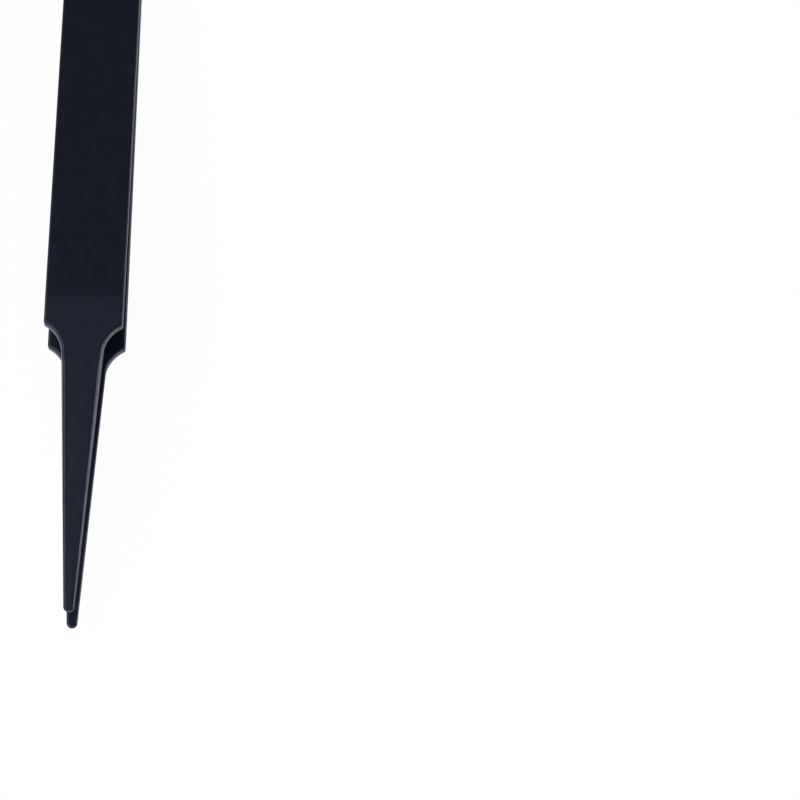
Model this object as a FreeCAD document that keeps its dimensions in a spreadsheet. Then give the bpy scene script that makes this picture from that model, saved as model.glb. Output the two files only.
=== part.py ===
import FreeCAD, Part
import math
import os

import Sketcher

# Stepped fine-tip tweezers moulded in one piece, in millimetres.
# Two flat sprung arms grow out of a solid rear block. Near the front each arm
# has a belly bend, then a shoulder on both sides that steps down to a narrow
# leg, which tapers in width and in thickness to a small rounded tip.
# The body is drawn level, with its tips at Y = 0, its length along +Y, its
# width along X and its mid-plane at Z = 0. Its placement then lays it on its
# lower arm, as it comes to rest, with the tips pointing to -Y.

SIZES = {
    "overall_length": 118.0,        # tip to rear end, along the mid-plane
    "blade_width": 10.0,            # arms and rear block, side to side
    "blade_thickness": 1.9,         # each arm, from the belly to the rear block
    "belly_height": 11.5,           # outer face to outer face at the belly bend
    "belly_behind_shoulder": 3.0,   # from the shoulders back to the belly bend
    "block_length": 16.0,           # rear block, where the outer faces run level
    "block_thickness": 3.9,
    "tip_height": 9.5,              # outer face to outer face at the tips
    "tip_thickness": 0.8,
    "tip_radius": 0.7,              # round nose of each leg, seen from above
    "shoulder_distance": 37.2,      # from the tip end back to the shoulders
    "shoulder_radius": 4.1,         # hollow of each shoulder
    "leg_root_width": 5.35,         # width of a leg where the hollows start
    "bend_radius": 40.0,            # inside and outside of the belly bend
    "block_blend_radius": 60.0,     # where the arms run into the rear block
    "crotch_radius": 0.5,           # where the two arms part
    "shoulder_corner_radius": 0.35,
    "rear_corner_radius": 2.5,
    "edge_radius": 0.3,             # rounding along every rim
}

START, END, CENTRE = range(1, 4)    # points of a sketched line or arc
AXIS_X, AXIS_Y = range(-1, -3, -1)  # the sketch's own axes
ORIGIN = AXIS_X                     # its origin is the start of its X axis
UP = FreeCAD.Vector(0, 0, 1)
QUARTER = math.pi / 2


def makeSheet(doc):
    sheet = doc.addObject("Spreadsheet::Sheet", "Sizes")
    for row, (name, value) in enumerate(SIZES.items(), start=1):
        sheet.set(f"A{row}", name)
        sheet.set(f"B{row}", str(value))
        sheet.setAlias(f"B{row}", name)
    doc.recompute()
    return sheet


def originPlane(body, role):
    return [item for item in body.Origin.OriginFeatures if item.Role == role][0]


def addSketch(body, name, role):
    sketch = body.newObject("Sketcher::SketchObject", name)
    sketch.AttachmentSupport = (originPlane(body, role), [""])
    sketch.MapMode = "FlatFace"
    return sketch


def addLine(sketch, start, end):
    return sketch.addGeometry(Part.LineSegment(FreeCAD.Vector(*start, 0), FreeCAD.Vector(*end, 0)))


def addArc(sketch, centre, radius, fromAngle, toAngle):
    circle = Part.Circle(FreeCAD.Vector(*centre, 0), UP, radius)
    return sketch.addGeometry(Part.ArcOfCircle(circle, fromAngle, toAngle))


def onArc(centre, radius, angle):
    return (centre[0] + radius * math.cos(angle), centre[1] + radius * math.sin(angle))


def relate(sketch, *terms):
    return sketch.addConstraint(Sketcher.Constraint(*terms))


def dimension(sketch, value, expression, *terms):
    index = relate(sketch, *terms, value)
    sketch.setExpression(f"Constraints[{index}]", expression)


def bellyDistance(sheet):
    return sheet.shoulder_distance + sheet.belly_behind_shoulder


def sketchArmProfile(body, sheet):
    # the upper arm and the upper half of the block, seen from the side, with
    # the tip at the left; the crest of the belly bend is a round about a
    # centre that the arm's outer and inner face share
    sketch = addSketch(body, "ArmProfile", "YZ_Plane")
    length = sheet.overall_length
    belly = bellyDistance(sheet)
    bend = sheet.bend_radius
    innerBend = bend - sheet.blade_thickness
    halfBelly = sheet.belly_height / 2
    halfTip = sheet.tip_height / 2
    halfBlock = sheet.block_thickness / 2
    blockStart = length - sheet.block_length
    blade = math.atan2(halfBelly - halfBlock, blockStart - belly)
    leg = math.atan2(halfBelly - halfTip, belly)
    bendCentre = (belly, halfBelly - bend)
    blendCentre = (blockStart, halfBlock + sheet.block_blend_radius)
    innerCrest = halfBelly - sheet.blade_thickness
    crotchAt = (belly + (innerCrest - sheet.crotch_radius) / math.tan(blade), 0)

    crotch = addArc(sketch, crotchAt, sheet.crotch_radius, 0, QUARTER - blade)
    inside = addArc(sketch, bendCentre, innerBend, QUARTER - blade, QUARTER)
    outside = addArc(sketch, bendCentre, bend, QUARTER - blade, QUARTER + leg)
    blend = addArc(sketch, blendCentre, sheet.block_blend_radius, -QUARTER - blade, -QUARTER)
    innerTip, outerTip = (0, halfTip - sheet.tip_thickness), (0, halfTip)
    innerBlade = addLine(sketch, onArc(crotchAt, sheet.crotch_radius, QUARTER - blade),
                         onArc(bendCentre, innerBend, QUARTER - blade))
    innerLeg = addLine(sketch, (belly, innerCrest), innerTip)
    tipFace = addLine(sketch, innerTip, outerTip)
    outerLeg = addLine(sketch, outerTip, onArc(bendCentre, bend, QUARTER + leg))
    outerBlade = addLine(sketch, onArc(bendCentre, bend, QUARTER - blade),
                         onArc(blendCentre, sheet.block_blend_radius, -QUARTER - blade))
    blockFace = addLine(sketch, (blockStart, halfBlock), (length, halfBlock))
    rearFace = addLine(sketch, (length, halfBlock), (length, 0))
    midPlane = addLine(sketch, (length, 0), (crotchAt[0] + sheet.crotch_radius, 0))

    for first, firstEnd, second, secondEnd in (
        (crotch, END, innerBlade, START),
        (innerBlade, END, inside, START),
        (inside, END, innerLeg, START),
        (outerLeg, END, outside, END),
        (outside, START, outerBlade, START),
        (outerBlade, END, blend, START),
        (blend, END, blockFace, START),
    ):
        relate(sketch, "Tangent", first, firstEnd, second, secondEnd)
    for first, second in (
        (innerLeg, tipFace),
        (tipFace, outerLeg),
        (blockFace, rearFace),
        (rearFace, midPlane),
        (midPlane, crotch),
    ):
        relate(sketch, "Coincident", first, END, second, START)
    relate(sketch, "Coincident", inside, CENTRE, outside, CENTRE)
    relate(sketch, "Parallel", innerBlade, outerBlade)
    relate(sketch, "Horizontal", blockFace)
    relate(sketch, "Vertical", rearFace)
    relate(sketch, "Vertical", tipFace)
    relate(sketch, "PointOnObject", tipFace, START, AXIS_Y)
    relate(sketch, "PointOnObject", rearFace, END, AXIS_X)
    relate(sketch, "PointOnObject", crotch, START, AXIS_X)
    relate(sketch, "PointOnObject", crotch, CENTRE, AXIS_X)

    dimension(sketch, length, "Sizes.overall_length", "DistanceX", ORIGIN, START, rearFace, END)
    dimension(sketch, sheet.block_length, "Sizes.block_length", "DistanceX", blockFace, START, blockFace, END)
    dimension(sketch, halfBlock, "Sizes.block_thickness / 2", "DistanceY", rearFace, END, rearFace, START)
    dimension(sketch, sheet.block_blend_radius, "Sizes.block_blend_radius", "Radius", blend)
    dimension(sketch, belly, "Sizes.shoulder_distance + Sizes.belly_behind_shoulder",
              "DistanceX", ORIGIN, START, outside, CENTRE)
    dimension(sketch, bend - halfBelly, "Sizes.bend_radius - Sizes.belly_height / 2",
              "DistanceY", outside, CENTRE, ORIGIN, START)
    dimension(sketch, bend, "Sizes.bend_radius", "Radius", outside)
    dimension(sketch, innerBend, "Sizes.bend_radius - Sizes.blade_thickness", "Radius", inside)
    dimension(sketch, halfTip, "Sizes.tip_height / 2", "DistanceY", ORIGIN, START, tipFace, END)
    dimension(sketch, sheet.tip_thickness, "Sizes.tip_thickness", "DistanceY", tipFace, START, tipFace, END)
    dimension(sketch, sheet.crotch_radius, "Sizes.crotch_radius", "Radius", crotch)
    return sketch


def sketchLegOutline(body, sheet):
    # what is cut away around the legs, seen from above: a U-shaped region
    # whose inner side is shoulder hollow, leg edge, nose, leg edge, hollow
    sketch = addSketch(body, "LegOutline", "XY_Plane")
    halfBlade = sheet.blade_width / 2
    halfRoot = sheet.leg_root_width / 2
    shoulder = sheet.shoulder_distance
    nose = sheet.tip_radius
    hollow = sheet.shoulder_radius
    around = sheet.blade_width / 2      # how far the cut reaches past the arms
    turn = math.acos(1 - (halfBlade - halfRoot) / hollow)
    root = shoulder - hollow * math.sin(turn)
    taper = math.atan2(halfRoot - nose, root - nose)

    noseArc = addArc(sketch, (0, nose), nose, math.pi + taper, 2 * math.pi - taper)
    legEdges, hollows, ledges, walls = {}, {}, {}, {}
    for side in (1, -1):
        touch = onArc((0, nose), nose, -taper)
        legEdges[side] = addLine(sketch, (side * touch[0], touch[1]), (side * halfRoot, root))
        sweep = (math.pi - turn, math.pi) if side == 1 else (0, turn)
        hollows[side] = addArc(sketch, (side * (halfRoot + hollow), root), hollow, *sweep)
        ledges[side] = addLine(sketch, (side * halfBlade, shoulder), (side * (halfBlade + around), shoulder))
        walls[side] = addLine(sketch, (side * (halfBlade + around), shoulder),
                              (side * (halfBlade + around), -around))
        rootEnd, ledgeEnd, noseEnd = (END, START, END) if side == 1 else (START, END, START)
        relate(sketch, "Tangent", legEdges[side], START, noseArc, noseEnd)
        relate(sketch, "Tangent", legEdges[side], END, hollows[side], rootEnd)
        relate(sketch, "Coincident", hollows[side], ledgeEnd, ledges[side], START)
        relate(sketch, "Coincident", ledges[side], END, walls[side], START)
        relate(sketch, "Horizontal", ledges[side])
        relate(sketch, "Vertical", walls[side])
    front = addLine(sketch, (halfBlade + around, -around), (-halfBlade - around, -around))
    relate(sketch, "Coincident", front, START, walls[1], END)
    relate(sketch, "Coincident", front, END, walls[-1], END)
    relate(sketch, "Symmetric", legEdges[-1], END, legEdges[1], END, AXIS_Y)
    relate(sketch, "Symmetric", ledges[-1], START, ledges[1], START, AXIS_Y)
    relate(sketch, "Symmetric", walls[-1], END, walls[1], END, AXIS_Y)
    relate(sketch, "PointOnObject", noseArc, CENTRE, AXIS_Y)

    dimension(sketch, nose, "Sizes.tip_radius", "Radius", noseArc)
    dimension(sketch, nose, "Sizes.tip_radius", "DistanceY", ORIGIN, START, noseArc, CENTRE)
    dimension(sketch, hollow, "Sizes.shoulder_radius", "Radius", hollows[1])
    dimension(sketch, sheet.leg_root_width, "Sizes.leg_root_width",
              "DistanceX", legEdges[-1], END, legEdges[1], END)
    dimension(sketch, sheet.blade_width, "Sizes.blade_width",
              "DistanceX", ledges[-1], START, ledges[1], START)
    dimension(sketch, shoulder, "Sizes.shoulder_distance", "DistanceY", ORIGIN, START, ledges[1], START)
    dimension(sketch, around, "Sizes.blade_width / 2", "DistanceX", ledges[1], START, ledges[1], END)
    dimension(sketch, around, "Sizes.blade_width / 2", "DistanceY", walls[1], END, ORIGIN, START)
    return sketch


def addFillet(body, name, base, edges, radius):
    fillet = body.newObject("PartDesign::Fillet", name)
    fillet.Base = (base, [f"Edge{index + 1}" for index in edges])
    fillet.setExpression("Radius", radius)
    body.Document.recompute()
    return fillet


def cornerEdges(shape, places):
    # upright edges that stand at one of the given (X, Y) places
    found = []
    for index, edge in enumerate(shape.Edges):
        box, middle = edge.BoundBox, edge.CenterOfMass
        upright = max(box.XLength, box.YLength) < 0.001
        if upright and any(math.dist((middle.x, middle.y), place) < 0.001 for place in places):
            found.append(index)
    return found


def rimEdges(shape):
    # edges where a broad face and a wall meet at an angle; smooth seams stay
    found = []
    for index, edge in enumerate(shape.Edges):
        first, last = edge.ParameterRange
        point = edge.valueAt((first + last) / 2)
        faces = shape.ancestorsOfType(edge, Part.Face)
        normals = [face.normalAt(*face.Surface.parameter(point)) for face in faces]
        if len(normals) == 2 and normals[0].dot(normals[1]) < 0.9:
            found.append(index)
    return found


def restTilt(sheet, edgeRadius):
    # The lower arm touches the table at its belly bend and at the lower edge
    # of the rear block. Both are rounds, and turned by this angle they reach
    # down equally far.
    alongY = sheet.overall_length - edgeRadius - bellyDistance(sheet)
    alongZ = sheet.bend_radius - sheet.belly_height / 2 + sheet.block_thickness / 2 - edgeRadius
    drop = (sheet.bend_radius - edgeRadius) / math.hypot(alongY, alongZ)
    return math.atan2(alongY, alongZ) - math.acos(drop)


def buildTweezers(doc, sheet):
    body = doc.addObject("PartDesign::Body", "Tweezers")
    body.Label = "tweezers"

    # one arm and half the block, as wide as the blades, then its mirror image
    arm = body.newObject("PartDesign::Pad", "Arm")
    arm.Profile = sketchArmProfile(body, sheet)
    arm.Midplane = True
    arm.setExpression("Length", "Sizes.blade_width")
    doc.recompute()
    pair = body.newObject("PartDesign::Mirrored", "Pair")
    pair.Originals = [arm]
    pair.MirrorPlane = (originPlane(body, "XY_Plane"), [""])
    body.Tip = pair
    doc.recompute()

    # the narrow legs are cut out of the blades' width
    legs = body.newObject("PartDesign::Pocket", "Legs")
    legs.Profile = sketchLegOutline(body, sheet)
    legs.Type = "ThroughAll"
    legs.Midplane = True
    doc.recompute()

    # upright corners first, then one round along every rim, which takes less
    # than half of the tips' thickness from either side
    half = sheet.blade_width / 2
    atShoulders = [(side * half, sheet.shoulder_distance) for side in (1, -1)]
    atRear = [(side * half, sheet.overall_length) for side in (1, -1)]
    shoulders = addFillet(body, "ShoulderCorners", legs, cornerEdges(legs.Shape, atShoulders),
                          "Sizes.shoulder_corner_radius")
    rear = addFillet(body, "RearCorners", shoulders, cornerEdges(shoulders.Shape, atRear),
                     "Sizes.rear_corner_radius")
    rims = addFillet(body, "Rims", rear, rimEdges(rear.Shape),
                     "min(Sizes.edge_radius; 0.45 * Sizes.tip_thickness)")

    # laid down at rest, centred over the origin
    turn = FreeCAD.Rotation(FreeCAD.Vector(1, 0, 0), -math.degrees(restTilt(sheet, rims.Radius.Value)))
    body.Placement = FreeCAD.Placement(FreeCAD.Vector(), turn)
    box = body.Shape.optimalBoundingBox(False, False)
    body.Placement = FreeCAD.Placement(FreeCAD.Vector(0, -box.Center.y, -box.ZMin), turn)
    return body


def check(doc, body):
    doc.recompute()
    for item in doc.Objects:
        if {"Invalid", "Error"} & set(item.State):
            raise RuntimeError(f"{item.Label} failed: {item.State}")
    shape = body.Shape
    if shape.isNull() or not shape.isValid() or len(shape.Solids) != 1:
        raise RuntimeError(f"{body.Label} is not one valid solid")
    box = shape.optimalBoundingBox(False, False)
    print(f"{body.Label}: {len(shape.Faces)} faces, {shape.Volume:.1f} mm3, "
          f"{box.XLength:.3f} x {box.YLength:.3f} x {box.ZLength:.3f} mm")


def main():
    doc = FreeCAD.newDocument("StepTweezers")
    sheet = makeSheet(doc)
    body = buildTweezers(doc, sheet)
    check(doc, body)
    os.makedirs("parts", exist_ok=True)
    body.Shape.exportStep(f"parts/{body.Label}.step")


main()
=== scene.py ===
import math

import bpy
from mathutils import Matrix, Vector


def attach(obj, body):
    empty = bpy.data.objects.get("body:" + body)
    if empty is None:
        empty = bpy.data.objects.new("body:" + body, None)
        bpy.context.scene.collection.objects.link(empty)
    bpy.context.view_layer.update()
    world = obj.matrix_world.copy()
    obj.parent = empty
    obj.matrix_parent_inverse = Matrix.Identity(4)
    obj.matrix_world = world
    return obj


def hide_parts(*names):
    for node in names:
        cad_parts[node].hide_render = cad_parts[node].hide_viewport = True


mm = 0.001
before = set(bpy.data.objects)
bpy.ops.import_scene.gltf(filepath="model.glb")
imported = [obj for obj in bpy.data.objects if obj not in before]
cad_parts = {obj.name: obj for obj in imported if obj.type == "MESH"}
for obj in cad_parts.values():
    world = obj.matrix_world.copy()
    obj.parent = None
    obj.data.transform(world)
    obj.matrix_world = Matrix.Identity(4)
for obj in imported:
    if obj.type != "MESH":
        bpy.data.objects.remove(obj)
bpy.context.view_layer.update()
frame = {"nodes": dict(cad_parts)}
print("frame loaded with", ", ".join(frame["nodes"]))


def linearColour(code):  # sRGB hex to linear RGBA
    parts = [int(code[i:i + 2], 16) / 255 for i in (1, 3, 5)]
    return (*(c / 12.92 if c <= 0.04045 else ((c + 0.055) / 1.055) ** 2.4 for c in parts), 1.0)


def addNode(tree, kind, inputs=(), **settings):  # a socket or a list of them is linked, the rest are values
    node = tree.nodes.new(kind)
    for name, value in settings.items():
        setattr(node, name, value)
    for key, value in dict(inputs).items():
        if isinstance(value, (bpy.types.NodeSocket, list)):
            for source in value if isinstance(value, list) else [value]:
                tree.links.new(source, node.inputs[key])
        else:
            node.inputs[key].default_value = value
    return node


# Camera: where the photograph was taken from, fitted to the edges of both arms.
photoCamera = {
    "place": (0.0255431, -0.1393769, 0.4351232),  # metres
    "angles": (14.4189599, -2.3727905, 1.4476076),  # degrees
    "lens": 156.028,
}
cameraData = bpy.data.cameras.new("photoCamera")
cameraData.sensor_width = 36
cameraData.lens = photoCamera["lens"]
cameraData.clip_start, cameraData.clip_end = 0.01, 20
camera = bpy.data.objects.new("photoCamera", cameraData)
camera.location = photoCamera["place"]
camera.rotation_euler = [math.radians(a) for a in photoCamera["angles"]]
bpy.context.collection.objects.link(camera)
bpy.context.scene.camera = camera
print("camera set")

# The tweezers, with the same named sizes as the CAD part, in millimetres. The legs' lean is
# only here. They are drawn level, tips at Y 0, length along +Y, mid-plane at Z 0, and then
# laid down at rest.
tweezers = {
    "length": 118.0,
    "bladeWidth": 10.0,
    "bladeThickness": 1.9,
    "bellyHeight": 11.5,
    "bellyAt": 40.2,
    "blockLength": 16.0,
    "blockThickness": 3.9,
    "tipHeight": 9.5,
    "tipThickness": 0.8,
    "noseRadius": 0.7,
    "shoulderAt": 37.2,
    "hollowRadius": 4.1,
    "legRootWidth": 5.35,
    "bendRadius": 40.0,
    "blendRadius": 60.0,
    "crotchRadius": 0.5,
    "shoulderCorner": 0.35,
    "rearCorner": 2.5,
    "legLean": 0.072,  # how much narrower a leg gets, for each mm out from its inner face
    "leanFrom": 4.1,  # height at which a leg keeps its drawn width
    "leanEnds": (31.0, 36.5),  # it dies out from the leg's root to the shoulder
    "rimRadius": 0.3,
    "rimSteps": 6,
    "rimAngle": 40,  # degrees; edges that turn more than this are rounded
    "rimSlopes": (0.25, 0.993),  # Z of the normals that belong to a round
    "arcSteps": 14,
    "restTilt": 0.0496228335,  # radians; it lies on its lower belly and the block's lower edge
    "restPlace": (0.0, -58.8577462, 7.7861798),
}


def arcPoints(centre, radius, fromAngle, toAngle, steps):
    angles = [fromAngle + (toAngle - fromAngle) * i / steps for i in range(steps + 1)]
    return [(centre[0] + radius * math.cos(a), centre[1] + radius * math.sin(a)) for a in angles]


def sideOutline(size):  # (along, height) round both arms and the block
    steps, quarter = size["arcSteps"], math.pi / 2
    bend, blend = size["bendRadius"], size["blendRadius"]
    inner = bend - size["bladeThickness"]
    tip, block = size["tipHeight"] / 2, size["blockThickness"] / 2
    belly = (size["bellyAt"], size["bellyHeight"] / 2 - bend)
    rear = (size["length"] - size["blockLength"], block + blend)
    # the blade's outer face runs off the belly's round and onto the block's
    slope = (math.atan2(rear[0] - belly[0], rear[1] - belly[1])
             - math.acos((bend + blend) / math.dist(belly, rear)))

    def legSlope(height, radius):  # of a line from the tip that touches a round of the belly
        up = height - belly[1]
        return math.atan2(belly[0], up) - math.acos(radius / math.hypot(belly[0], up))

    outerLeg = legSlope(tip, bend)
    innerLeg = legSlope(tip - size["tipThickness"], inner)
    crest = (belly[0] + inner * math.sin(slope), belly[1] + inner * math.cos(slope))
    crotch = size["crotchRadius"]
    crotchAt = crest[0] + (crest[1] - crotch / math.cos(slope)) / math.tan(slope)
    outside = [(0, tip - size["tipThickness"]), (0, tip)]
    outside += arcPoints(belly, bend, quarter + outerLeg, quarter - slope, steps)
    outside += arcPoints(rear, blend, -quarter - slope, -quarter, steps) + [(size["length"], block)]
    gap = arcPoints(belly, inner, quarter + innerLeg, quarter - slope, steps)
    gap += arcPoints((crotchAt, 0), crotch, quarter - slope, 0, steps)[:-1]
    lower = [(y, -z) for y, z in reversed(outside)] + [(y, -z) for y, z in gap]
    return outside + lower + [(crotchAt + crotch, 0)] + gap[::-1]


def topOutline(size):  # (across, along) round the legs, shoulders, blades and block
    steps = size["arcSteps"]
    half, root, nose = size["bladeWidth"] / 2, size["legRootWidth"] / 2, size["noseRadius"]
    hollow, taper = size["hollowRadius"], 0.0
    for _ in range(30):  # the leg's edge touches the nose at one end and the hollow at the other
        hollowX = root + hollow * math.cos(taper)
        hollowY = size["shoulderAt"] - math.sqrt(hollow ** 2 - (half - hollowX) ** 2)
        rise = hollowY + hollow * math.sin(taper) - nose
        taper = math.atan2(root, rise) - math.asin(nose / math.hypot(root, rise))
    corner, rear = size["shoulderCorner"], size["rearCorner"]
    cornerX = half - corner
    cornerY = hollowY + math.sqrt((hollow + corner) ** 2 - (cornerX - hollowX) ** 2)
    touch = math.atan2(cornerY - hollowY, cornerX - hollowX)
    side = arcPoints((0, nose), nose, -math.pi / 2, -taper, steps)
    legEnds = [side[-1], (hollowX - hollow * math.cos(taper), hollowY + hollow * math.sin(taper))]
    side += [[a + (b - a) * i / steps for a, b in zip(*legEnds)] for i in range(1, steps)]
    side += arcPoints((hollowX, hollowY), hollow, math.pi - taper, touch, steps * 2)
    side += arcPoints((cornerX, cornerY), corner, touch - math.pi, 0, steps // 2)[1:]
    side += arcPoints((half - rear, size["length"] - rear), rear, 0, math.pi / 2, steps)
    return side + [(-x, y) for x, y in reversed(side[1:])]


def outlineMesh(size):  # both outlines as wire loops, the upper one marked
    outlines = bpy.data.meshes.new("tweezerOutlines")
    points, edges, fromAbove = [], [], []
    for loop, above in ((sideOutline(size), False), (topOutline(size), True)):
        first = len(points)
        points += [(x * mm, y * mm, 0) for x, y in loop]
        edges += [(first + i, first + (i + 1) % len(loop)) for i in range(len(loop))]
        fromAbove += [above] * len(loop)
    outlines.from_pydata(points, edges, [])
    outlines.attributes.new("fromAbove", "BOOLEAN", "POINT").data.foreach_set("value", fromAbove)
    return outlines


def twoWayCutTree():  # one outline swept across the tool, one swept down through it, what they share
    tree = bpy.data.node_groups.new("twoWayCut", "GeometryNodeTree")
    weldDistance = 1e-6  # metres, closes the seams between the walls and the two lids
    sockets = {}
    for name, kind in (("Outlines", "Geometry"), ("Blade width", "Float"), ("Cut height", "Float"),
                       ("Leg lean", "Float"), ("Lean from", "Float"), ("Lean full at", "Float"),
                       ("Lean gone at", "Float"), ("Rest tilt", "Float"), ("Rest place", "Vector"),
                       ("Finish", "Material")):
        sockets[name] = tree.interface.new_socket(name, in_out="INPUT", socket_type="NodeSocket" + kind)
    tree.interface.new_socket("Body", in_out="OUTPUT", socket_type="NodeSocketGeometry")
    given = addNode(tree, "NodeGroupInput").outputs
    marked = addNode(tree, "GeometryNodeInputNamedAttribute", {"Name": "fromAbove"}, data_type="BOOLEAN")
    parted = addNode(tree, "GeometryNodeSeparateGeometry",
                     {"Geometry": given["Outlines"], "Selection": marked.outputs["Attribute"]})
    quarter = math.pi / 2
    solids = []
    for outline, depth, turn in (("Inverted", "Blade width", (quarter, 0, quarter)),
                                 ("Selection", "Cut height", (0, 0, 0))):
        curve = addNode(tree, "GeometryNodeMeshToCurve", {"Mesh": parted.outputs[outline]})
        face = addNode(tree, "GeometryNodeFillCurve", {"Curve": curve.outputs[0]}, mode="NGONS")
        raised = addNode(tree, "GeometryNodeExtrudeMesh",
                         {"Mesh": face.outputs[0], "Offset Scale": given[depth], "Individual": False})
        under = addNode(tree, "GeometryNodeFlipFaces", {"Mesh": face.outputs[0]})
        both = addNode(tree, "GeometryNodeJoinGeometry",
                       {"Geometry": [raised.outputs["Mesh"], under.outputs[0]]})
        closed = addNode(tree, "GeometryNodeMergeByDistance",
                         {"Geometry": both.outputs[0], "Distance": weldDistance})
        halfway = addNode(tree, "ShaderNodeMath", {0: given[depth], 1: -0.5}, operation="MULTIPLY")
        drop = addNode(tree, "ShaderNodeCombineXYZ", {"Z": halfway.outputs[0]})
        centred = addNode(tree, "GeometryNodeTransform",
                          {"Geometry": closed.outputs[0], "Translation": drop.outputs[0]})
        solids.append(addNode(tree, "GeometryNodeTransform",
                              {"Geometry": centred.outputs[0], "Rotation": turn}).outputs[0])
    shared = addNode(tree, "GeometryNodeMeshBoolean", {"Mesh 2": solids},
                     operation="INTERSECT", solver="EXACT")

    # the legs' side walls lean in towards their outer faces
    position = addNode(tree, "GeometryNodeInputPosition")
    spot = addNode(tree, "ShaderNodeSeparateXYZ", {0: position.outputs[0]}).outputs
    fade = addNode(tree, "ShaderNodeMapRange",
                   {"Value": spot["Y"],
                    "From Min": given["Lean full at"], "From Max": given["Lean gone at"],
                    "To Min": 1.0, "To Max": 0.0}, interpolation_type="SMOOTHSTEP")
    rise = addNode(tree, "ShaderNodeMath", {0: spot["Z"]}, operation="ABSOLUTE")
    beyond = addNode(tree, "ShaderNodeMath", {0: rise.outputs[0], 1: given["Lean from"]},
                     operation="SUBTRACT")
    lean = addNode(tree, "ShaderNodeMath", {0: beyond.outputs[0], 1: given["Leg lean"]},
                   operation="MULTIPLY")
    lean = addNode(tree, "ShaderNodeMath", {0: lean.outputs[0], 1: fade.outputs[0]}, operation="MULTIPLY")
    keep = addNode(tree, "ShaderNodeMath", {0: 1.0, 1: lean.outputs[0]}, operation="SUBTRACT")
    across = addNode(tree, "ShaderNodeMath", {0: spot["X"], 1: keep.outputs[0]}, operation="MULTIPLY")
    place = addNode(tree, "ShaderNodeCombineXYZ", {"X": across.outputs[0], "Y": spot["Y"], "Z": spot["Z"]})
    leant = addNode(tree, "GeometryNodeSetPosition",
                    {"Geometry": shared.outputs["Mesh"], "Position": place.outputs[0]})
    tilt = addNode(tree, "ShaderNodeCombineXYZ", {"X": given["Rest tilt"]})
    laid = addNode(tree, "GeometryNodeTransform",
                   {"Geometry": leant.outputs[0], "Rotation": tilt.outputs[0],
                    "Translation": given["Rest place"]})
    smooth = addNode(tree, "GeometryNodeSetShadeSmooth", {"Geometry": laid.outputs[0]})
    real = addNode(tree, "GeometryNodeRealizeInstances", {"Geometry": smooth.outputs[0]})
    dressed = addNode(tree, "GeometryNodeSetMaterial",
                      {"Geometry": real.outputs[0], "Material": given["Finish"]})
    addNode(tree, "NodeGroupOutput", {"Body": dressed.outputs[0]})
    return tree, {name: socket.identifier for name, socket in sockets.items()}


def buildTweezers(size, finish):
    body = bpy.data.objects.new("mouldedTweezers", outlineMesh(size))
    bpy.context.collection.objects.link(body)
    body.data.materials.append(finish)
    tree, inputs = twoWayCutTree()
    cut = body.modifiers.new("twoWayCut", "NODES")
    cut.node_group = tree
    cut[inputs["Blade width"]] = size["bladeWidth"] * mm
    cut[inputs["Cut height"]] = size["bellyHeight"] * 2 * mm
    cut[inputs["Leg lean"]] = size["legLean"] / mm
    cut[inputs["Lean from"]] = size["leanFrom"] * mm
    cut[inputs["Lean full at"]], cut[inputs["Lean gone at"]] = [y * mm for y in size["leanEnds"]]
    cut[inputs["Rest tilt"]] = -size["restTilt"]
    cut[inputs["Rest place"]] = [v * mm for v in size["restPlace"]]
    cut[inputs["Finish"]] = finish
    rims = body.modifiers.new("rims", "BEVEL")
    rims.width = size["rimRadius"] * mm
    rims.segments = size["rimSteps"]
    rims.limit_method, rims.angle_limit = "ANGLE", math.radians(size["rimAngle"])
    rims.use_clamp_overlap = False
    even = body.modifiers.new("flatFacesStayFlat", "WEIGHTED_NORMAL")
    even.weight, even.keep_sharp = 100, False
    depsgraph = bpy.context.evaluated_depsgraph_get()
    plain = bpy.data.meshes.new_from_object(body.evaluated_get(depsgraph),
                                            preserve_all_data_layers=True, depsgraph=depsgraph)
    body.modifiers.clear()
    body.data = plain
    markRims(plain, size)
    return body


# Finish: nylon filled with short carbon fibre, injection moulded in a spark-eroded steel
# mould. To the eye it is a near-black navy satin: cloudy where the fibre lies thicker under
# the skin, faintly streaked along the flow, and bright only where it is seen edge-on.
carbonNylon = {
    "dark": "#010206",
    "light": "#141523",
    "fibre": "#2A303C",
    "sheenTint": "#E0E7FF",
    "ior": 1.53,  # nylon
    "roughness": 0.33,
    "roughnessSpread": 0.10,
    "smoothest": 0.28,  # no spot is smoother than this
    "cloudSize": 1.7,  # mm across
    "cloudRange": (0.36, 0.64),  # of the noise, from thin resin to thick
    "streakSize": (0.8, 9.0),  # mm wide and long
    "streakShare": 0.42,
    "fibreSize": (0.16, 0.8),  # mm; one fibre is 0.007 by 0.2, too fine to show, so these are bundles
    "fibreCore": (0.34, 0.16),  # how far from its middle a bundle starts and is full, of its own size
    "fibreHidden": 0.55,  # this share of the bundles lies too deep
    "fibreShow": 0.5,
    "fibreHeight": 0.001,  # mm
    "grainSize": 0.11,  # mm, pitch of the mould's spark-eroded grain
    "grainDepth": 0.004,  # mm
    "waveSize": 7.0,  # mm, slight sink of the cooling wall
    "waveDepth": 0.02,
    "partingWidth": 0.12,  # mm, witness line round the block where the mould's halves met
    "partingHeight": 0.03,
    "gateRadius": 0.75,  # mm, trimmed gate in the middle of the rear end
    "gateEdge": 0.15,
    "gateDepth": 0.06,
    "rimPolish": (0.06, 0.15),  # how far handling has burnished the rims, least and most
    "polishRange": (0.3, 0.7),  # of the cloud noise
}


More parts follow.
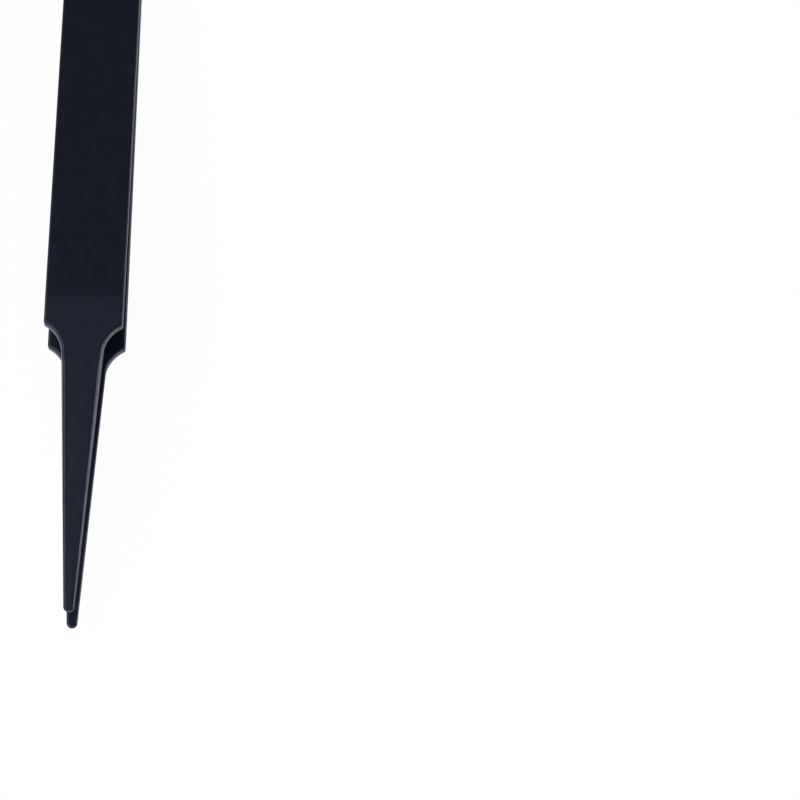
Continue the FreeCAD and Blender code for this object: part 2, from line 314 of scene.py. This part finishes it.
def carbonNylonMaterial(look, size):
    material = bpy.data.materials.new("carbonFilledNylonMoulded")
    material.use_nodes = True
    tree = material.node_tree
    tree.nodes.clear()

    # the tool's own level frame in millimetres, undone from how it lies at rest
    turned = Matrix.Rotation(size["restTilt"], 3, "X")
    atRest = addNode(tree, "ShaderNodeTexCoord").outputs["Object"]
    place = addNode(tree, "ShaderNodeMapping",
                    {"Vector": atRest, "Scale": (1 / mm, 1 / mm, 1 / mm),
                     "Rotation": (size["restTilt"], 0, 0),
                     "Location": -(turned @ Vector(size["restPlace"]))}).outputs[0]
    axis = addNode(tree, "ShaderNodeSeparateXYZ", {0: place}).outputs

    # clouds, streaks along the flow, the slow sink of a cooling wall and the mould's fine grain
    wide, long = look["streakSize"]
    flow = addNode(tree, "ShaderNodeMapping", {"Vector": place, "Scale": (1 / wide, 1 / long, 1 / wide)})
    cloud = addNode(tree, "ShaderNodeTexNoise",
                    {"Vector": place, "Scale": 1 / look["cloudSize"], "Detail": 3.0})
    streak = addNode(tree, "ShaderNodeTexNoise", {"Vector": flow.outputs[0], "Scale": 1.0, "Detail": 2.0})
    wave = addNode(tree, "ShaderNodeTexNoise",
                   {"Vector": place, "Scale": 1 / look["waveSize"], "Detail": 1.0})
    grain = addNode(tree, "ShaderNodeTexNoise",
                    {"Vector": place, "Scale": 1 / look["grainSize"], "Detail": 2.0})
    uneven = addNode(tree, "ShaderNodeMix",
                     {0: look["streakShare"], 2: cloud.outputs["Fac"], 3: streak.outputs["Fac"]})

    # short bundles of fibre near the skin, drawn out along the flow, only some of them showing
    wide, long = look["fibreSize"]
    drawn = addNode(tree, "ShaderNodeMapping", {"Vector": place, "Scale": (1 / wide, 1 / long, 1 / wide)})
    bundle = addNode(tree, "ShaderNodeTexVoronoi", {"Vector": drawn.outputs[0], "Scale": 1.0})
    coreOuter, coreInner = look["fibreCore"]
    core = addNode(tree, "ShaderNodeMapRange",
                   {"Value": bundle.outputs["Distance"], "From Min": coreOuter, "From Max": coreInner})
    pick = addNode(tree, "ShaderNodeSeparateColor", {0: bundle.outputs["Color"]})
    near = addNode(tree, "ShaderNodeMapRange",
                   {"Value": pick.outputs[0], "From Min": look["fibreHidden"], "From Max": 1.0})
    fibre = addNode(tree, "ShaderNodeMath", {0: core.outputs[0], 1: near.outputs[0]}, operation="MULTIPLY")

    # colour: lighter where the resin is thick
    thin, thick = look["cloudRange"]
    patch = addNode(tree, "ShaderNodeMapRange",
                    {"Value": uneven.outputs[0], "From Min": thin, "From Max": thick})
    skin = addNode(tree, "ShaderNodeMix", {0: patch.outputs[0], 6: linearColour(look["dark"]),
                                           7: linearColour(look["light"])}, data_type="RGBA")
    shown = addNode(tree, "ShaderNodeMath", {0: fibre.outputs[0], 1: look["fibreShow"]},
                    operation="MULTIPLY")
    colour = addNode(tree, "ShaderNodeMix", {0: shown.outputs[0], 6: skin.outputs[2],
                                             7: linearColour(look["fibre"])}, data_type="RGBA")

    # roughness: lower where the resin is thick, and lower still on rims that hands have burnished
    spread = look["roughnessSpread"] / 2
    satin = addNode(tree, "ShaderNodeMapRange",
                    {"Value": uneven.outputs[0], "From Min": thin, "From Max": thick,
                     "To Min": look["roughness"] + spread, "To Max": look["roughness"] - spread})
    rim = addNode(tree, "ShaderNodeAttribute", attribute_name="rimWear")
    handled = addNode(tree, "ShaderNodeMapRange",
                      {"Value": cloud.outputs["Fac"],
                       "From Min": look["polishRange"][0], "From Max": look["polishRange"][1],
                       "To Min": look["rimPolish"][0], "To Max": look["rimPolish"][1]})
    worn = addNode(tree, "ShaderNodeMath", {0: rim.outputs["Fac"], 1: handled.outputs[0]},
                   operation="MULTIPLY")
    kept = addNode(tree, "ShaderNodeMath", {0: 1.0, 1: worn.outputs[0]}, operation="SUBTRACT")
    polished = addNode(tree, "ShaderNodeMath", {0: satin.outputs[0], 1: kept.outputs[0]},
                       operation="MULTIPLY")
    rough = addNode(tree, "ShaderNodeMath", {0: polished.outputs[0], 1: look["smoothest"]},
                    operation="MAXIMUM")

    # relief, all in millimetres: grain, sink and fibre, the parting line and the gate of the block
    relief = addNode(tree, "ShaderNodeMath", {0: grain.outputs["Fac"], 1: look["grainDepth"]},
                     operation="MULTIPLY")
    for height, depth in ((wave.outputs["Fac"], "waveDepth"), (fibre.outputs[0], "fibreHeight")):
        relief = addNode(tree, "ShaderNodeMath", {0: height, 1: look[depth], 2: relief.outputs[0]},
                         operation="MULTIPLY_ADD")
    offMiddle = addNode(tree, "ShaderNodeMath", {0: axis["Z"]}, operation="ABSOLUTE")
    parting = addNode(tree, "ShaderNodeMapRange",
                      {"Value": offMiddle.outputs[0], "From Min": look["partingWidth"] / 2, "From Max": 0.0,
                       "To Max": look["partingHeight"]})
    relief = addNode(tree, "ShaderNodeMath", {0: relief.outputs[0], 1: parting.outputs[0]})
    level = addNode(tree, "ShaderNodeCombineXYZ", {"X": axis["X"], "Z": axis["Z"]})
    fromGate = addNode(tree, "ShaderNodeVectorMath", {0: level.outputs[0]}, operation="LENGTH")
    gate = addNode(tree, "ShaderNodeMapRange",
                   {"Value": fromGate.outputs["Value"], "From Min": look["gateRadius"],
                    "From Max": look["gateRadius"] - look["gateEdge"], "To Max": look["gateDepth"]})
    atRear = addNode(tree, "ShaderNodeMath", {0: axis["Y"], 1: size["length"] - size["rimRadius"]},
                     operation="GREATER_THAN")
    gate = addNode(tree, "ShaderNodeMath", {0: gate.outputs[0], 1: atRear.outputs[0]},
                   operation="MULTIPLY")
    relief = addNode(tree, "ShaderNodeMath", {0: relief.outputs[0], 1: gate.outputs[0]},
                     operation="SUBTRACT")
    bump = addNode(tree, "ShaderNodeBump", {"Height": relief.outputs[0], "Distance": mm, "Strength": 1.0})

    shader = addNode(tree, "ShaderNodeBsdfPrincipled",
                     {"Base Color": colour.outputs[2], "Roughness": rough.outputs[0],
                      "Normal": bump.outputs[0], "IOR": look["ior"],
                      "Specular Tint": linearColour(look["sheenTint"])})
    addNode(tree, "ShaderNodeOutputMaterial", {"Surface": shader.outputs[0]})
    return material


def markRims(mesh, size):  # 1 on the rounded rims, 0 where they meet a flat face or a wall
    level = Matrix.Rotation(size["restTilt"], 3, "X")
    wallLike, faceLike = size["rimSlopes"]
    wear = [1.0] * len(mesh.vertices)
    for face in mesh.polygons:
        if not wallLike < abs((level @ face.normal).z) < faceLike:
            for corner in face.vertices:
                wear[corner] = 0.0
    mesh.attributes.new("rimWear", "FLOAT", "POINT").data.foreach_set("value", wear)


finish = carbonNylonMaterial(carbonNylon, tweezers)
body = buildTweezers(tweezers, finish)
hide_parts("tweezers")
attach(body, "root")
print("tweezers built with", len(body.data.polygons), "faces")

# Stage: a white sheet in an even room, with soft light from the left, the right, above and in front.
stage = {
    "floorSize": 3.0,  # metres
    "floorColour": "#EEF2FA",
    "whiteLevel": 1.02,  # so that the open sheet reads as pure white
    "whiteShare": 0.95,  # how much of the floor's white is its own, the rest takes the shadow
    "glossyShare": 0.42,  # less in the arms' sheen, which has to show the dark beneath them
    "roomColour": "#F2F6FF",
    "roomStrength": 0.17,
}


def floorMaterial(look):
    material = bpy.data.materials.new("whitePaperSweep")
    material.use_nodes = True
    tree = material.node_tree
    tree.nodes.clear()
    paper = addNode(tree, "ShaderNodeBsdfDiffuse", {"Color": linearColour(look["floorColour"])})
    white = addNode(tree, "ShaderNodeEmission", {"Color": (1, 1, 1, 1), "Strength": look["whiteLevel"]})
    path = addNode(tree, "ShaderNodeLightPath").outputs
    seen = addNode(tree, "ShaderNodeMath", {0: path["Is Camera Ray"], 1: path["Is Transmission Ray"]})
    mirrored = addNode(tree, "ShaderNodeMath", {0: path["Is Glossy Ray"], 1: look["glossyShare"]},
                       operation="MULTIPLY")
    share = addNode(tree, "ShaderNodeMath",
                    {0: seen.outputs[0], 1: look["whiteShare"], 2: mirrored.outputs[0]},
                    operation="MULTIPLY_ADD")
    both = addNode(tree, "ShaderNodeMixShader",
                   {0: share.outputs[0], 1: paper.outputs[0], 2: white.outputs[0]})
    addNode(tree, "ShaderNodeOutputMaterial", {"Surface": both.outputs[0]})
    return material


reach = stage["floorSize"] / 2
corners = [(-reach, -reach, 0), (reach, -reach, 0), (reach, reach, 0), (-reach, reach, 0)]
floorMesh = bpy.data.meshes.new("floor")
floorMesh.from_pydata(corners, [], [(0, 1, 2, 3)])
floorMesh.materials.append(floorMaterial(stage))
floor = bpy.data.objects.new("floor", floorMesh)
bpy.context.collection.objects.link(floor)

lights = {  # name: place, width and height (metres), watts, colour
    "leftPanel": ((-0.55, -0.07, 0.71), (0.95, 0.60), 4.9, "#EEF3FF"),
    "rightPanel": ((0.76, 0.28, 0.38), (0.32, 0.32), 0.8, "#DCE6FF"),
    "rightLowPanel": ((0.89, 0.0, 0.125), (0.32, 0.32), 3.4, "#DCE6FF"),
    "topPanel": ((-0.03, 0.07, 0.90), (0.30, 0.30), 0.19, "#D2ECFF"),
    "frontLamp": ((0.02, -0.24, 0.08), (0.12, 0.12), 0.15, "#EEF3FF"),
}
for name, (place, across, watts, colour) in lights.items():
    data = bpy.data.lights.new(name, "AREA")
    data.shape, data.size, data.size_y = "RECTANGLE", *across
    data.energy = watts
    data.color = linearColour(colour)[:3]
    lamp = bpy.data.objects.new(name, data)
    lamp.location = place
    lamp.rotation_euler = (-Vector(place)).to_track_quat("-Z", "Y").to_euler()
    lamp.visible_camera = False
    bpy.context.collection.objects.link(lamp)

world = bpy.data.worlds.new("studio")
bpy.context.scene.world = world
world.use_nodes = True
worldTree = world.node_tree
worldTree.nodes.clear()
worldPath = addNode(worldTree, "ShaderNodeLightPath").outputs
room = addNode(worldTree, "ShaderNodeBackground",
               {"Color": linearColour(stage["roomColour"]), "Strength": stage["roomStrength"]})
backdrop = addNode(worldTree, "ShaderNodeBackground", {"Color": (1, 1, 1, 1), "Strength": 1.0})
mixed = addNode(worldTree, "ShaderNodeMixShader",
                {0: worldPath["Is Camera Ray"], 1: room.outputs[0], 2: backdrop.outputs[0]})
addNode(worldTree, "ShaderNodeOutputWorld", {"Surface": mixed.outputs[0]})

bpy.context.scene.view_settings.view_transform = "Standard"
print("stage and lights set")
